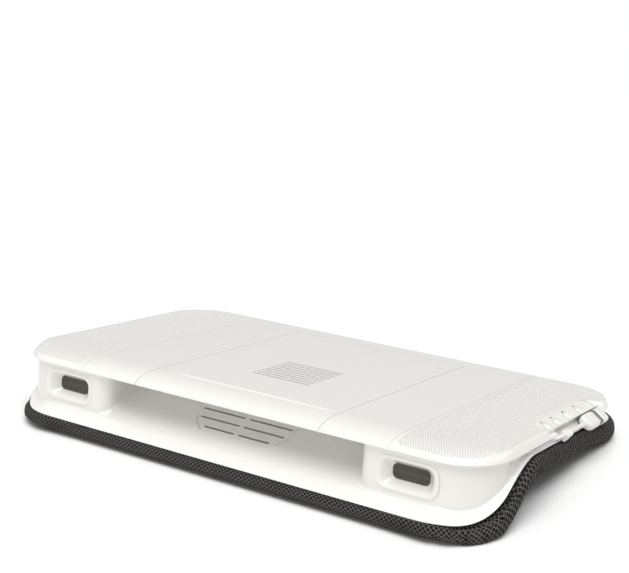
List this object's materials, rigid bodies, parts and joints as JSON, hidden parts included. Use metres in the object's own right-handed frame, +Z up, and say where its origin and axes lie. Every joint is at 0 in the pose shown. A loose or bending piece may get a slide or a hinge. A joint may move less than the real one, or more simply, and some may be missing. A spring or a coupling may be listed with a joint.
{
  "type": "laptop cooling pad",
  "caption": "Tilted white lap desk with perforated speaker ends, a fan under a slotted centre panel, rear ports and vent, edge buttons, a docked plug and a mesh cushion.",
  "frame": {"origin": "on the resting plane, in the middle of the cushion's rear foot", "axes": "+Z up, +Y to the rear (the side with the ports and the vent), +X to the user's right"},
  "size_m": [0.5164, 0.3115, 0.0651],
  "materials": {
    "white_shell": "gloss white moulded shell",
    "grille_white": "satin white perforated cover",
    "inner_plastic": "black moulded plastic",
    "air_mesh": "charcoal spacer mesh",
    "port_cloth": "dark warm grey grained insert",
    "steel": "plated steel",
    "brass_metal": "sintered bronze",
    "copper_coils": "lacquered copper windings",
    "paper_cone": "black pressed cone",
    "surround_rubber": "black rubber roll",
    "board_green": "green solder mask",
    "chip_black": "black component bodies",
    "button_white": "gloss white caps",
    "lens_dark": "smoked lens",
    "cable_white": "soft white jacket"
  },
  "bodies": {
    "housing": {"deck_shell": "white_shell", "centre_panel": "white_shell", "left_speaker_grille": "grille_white", "right_speaker_grille": "grille_white", "body_shell": "white_shell", "base_plate": "inner_plastic", "seat_cushion": "air_mesh", "rear_vent_grille": "white_shell", "left_port_bezel": "white_shell", "right_port_bezel": "white_shell", "left_port_mesh": "port_cloth", "right_port_mesh": "port_cloth", "housing_screws": "steel", "fan_frame": "inner_plastic", "fan_stator": "copper_coils", "fan_bearing": "brass_metal", "fan_screws": "steel", "speaker_screws": "steel", "amplifier_board": "board_green", "amplifier_parts": "chip_black", "board_screws": "steel", "control_board": "board_green", "key_switches": "chip_black", "control_strip": "white_shell", "indicator_lenses": "lens_dark", "usb_cable": "cable_white", "cable_clip": "white_shell", "plug_dock": "white_shell", "left_speaker_basket": "steel", "left_speaker_magnet": "steel", "left_speaker_surround": "surround_rubber", "right_speaker_basket": "steel", "right_speaker_magnet": "steel", "right_speaker_surround": "surround_rubber"},
    "fan_rotor_body": {"fan_rotor": "inner_plastic", "fan_shaft": "steel"},
    "volume_up": {"volume_up_button": "button_white"},
    "volume_down": {"volume_down_button": "button_white"},
    "mute": {"mute_button": "button_white"},
    "fan_switch": {"fan_button": "button_white"},
    "plug": {"usb_plug_body": "cable_white", "usb_plug_shell": "steel", "usb_plug_tongue": "chip_black"},
    "left_cone": {"left_speaker_cone": "paper_cone"},
    "right_cone": {"right_speaker_cone": "paper_cone"}
  },
  "joints": [
    {"name": "fan_spin", "type": "hinge", "parent": "housing", "child": "fan_rotor_body", "pos_m": [0, -0.12322, 0.04349], "axis": [0, -0.1219, 0.9925], "continuous": true},
    {"name": "volume_up_press", "type": "slide", "parent": "housing", "child": "volume_up", "axis": [0.342, 0.1145, -0.9327], "range_m": [0, 0.0008]},
    {"name": "volume_down_press", "type": "slide", "parent": "housing", "child": "volume_down", "axis": [0.342, 0.1145, -0.9327], "range_m": [0, 0.0008]},
    {"name": "mute_press", "type": "slide", "parent": "housing", "child": "mute", "axis": [0.342, 0.1145, -0.9327], "range_m": [0, 0.0008]},
    {"name": "fan_switch_press", "type": "slide", "parent": "housing", "child": "fan_switch", "axis": [0.342, 0.1145, -0.9327], "range_m": [0, 0.0008]},
    {"name": "plug_pull", "type": "slide", "parent": "housing", "child": "plug", "axis": [0, 0.9925, 0.1219], "range_m": [0, 0.012]},
    {"name": "left_cone_travel", "type": "slide", "parent": "housing", "child": "left_cone", "axis": [0, -0.1219, 0.9925], "range_m": [-0.001, 0.001]},
    {"name": "right_cone_travel", "type": "slide", "parent": "housing", "child": "right_cone", "axis": [0, -0.1219, 0.9925], "range_m": [-0.001, 0.001]}
  ]
}
